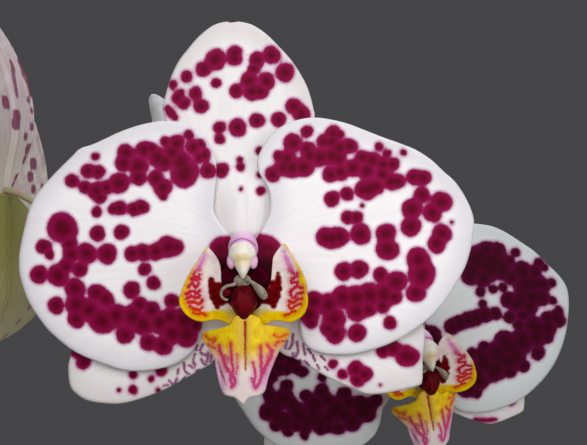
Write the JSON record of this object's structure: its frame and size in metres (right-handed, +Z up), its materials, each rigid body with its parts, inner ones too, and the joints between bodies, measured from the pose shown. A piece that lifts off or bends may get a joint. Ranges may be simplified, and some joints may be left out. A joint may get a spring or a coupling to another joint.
{
  "type": "potted doritaenopsis orchid",
  "caption": "Moth orchid in a plain clay pot: strap leaves, aerial roots and an arching spike of white blooms spotted wine-purple, with yellow lips and buds.",
  "frame": {"origin": "middle of the pot's flat underside", "axes": "+Z up from the pot's base; the blooms face -Y, the leaves spread along X"},
  "size_m": [0.3396, 0.1572, 0.4587],
  "materials": {
    "clay": "matt unglazed",
    "bark": "rough, matt",
    "root": "satin, silvery",
    "leaf": "waxy satin",
    "stem": "satin",
    "tepal": "soft satin, wine-purple spots",
    "lip": "waxy satin, red streaks",
    "column": "waxy satin",
    "anther": "waxy satin",
    "bud": "satin"
  },
  "bodies": {
    "root": {"pot": "clay", "bark_bed": "bark", "stem": "stem", "flower_spike": "stem", "root_front": "root", "root_side": "root", "root_bark": "root", "root_rear": "root", "leaf_low_left": "leaf", "leaf_low_right": "leaf", "leaf_mid_left": "leaf", "leaf_mid_right": "leaf", "leaf_young": "leaf", "front_dorsal_sepal": "tepal", "front_left_sepal": "tepal", "front_right_sepal": "tepal", "front_left_petal": "tepal", "front_right_petal": "tepal", "front_lip": "lip", "front_column": "column", "front_anther_cap": "anther", "front_pedicel": "stem", "right_dorsal_sepal": "tepal", "right_left_sepal": "tepal", "right_right_sepal": "tepal", "right_left_petal": "tepal", "right_right_petal": "tepal", "right_lip": "lip", "right_column": "column", "right_anther_cap": "anther", "right_pedicel": "stem", "left_dorsal_sepal": "tepal", "left_left_sepal": "tepal", "left_right_sepal": "tepal", "left_left_petal": "tepal", "left_right_petal": "tepal", "left_lip": "lip", "left_column": "column", "left_anther_cap": "anther", "left_pedicel": "stem", "upper_bud": "bud", "lower_bud": "bud"}
  },
  "joints": []
}
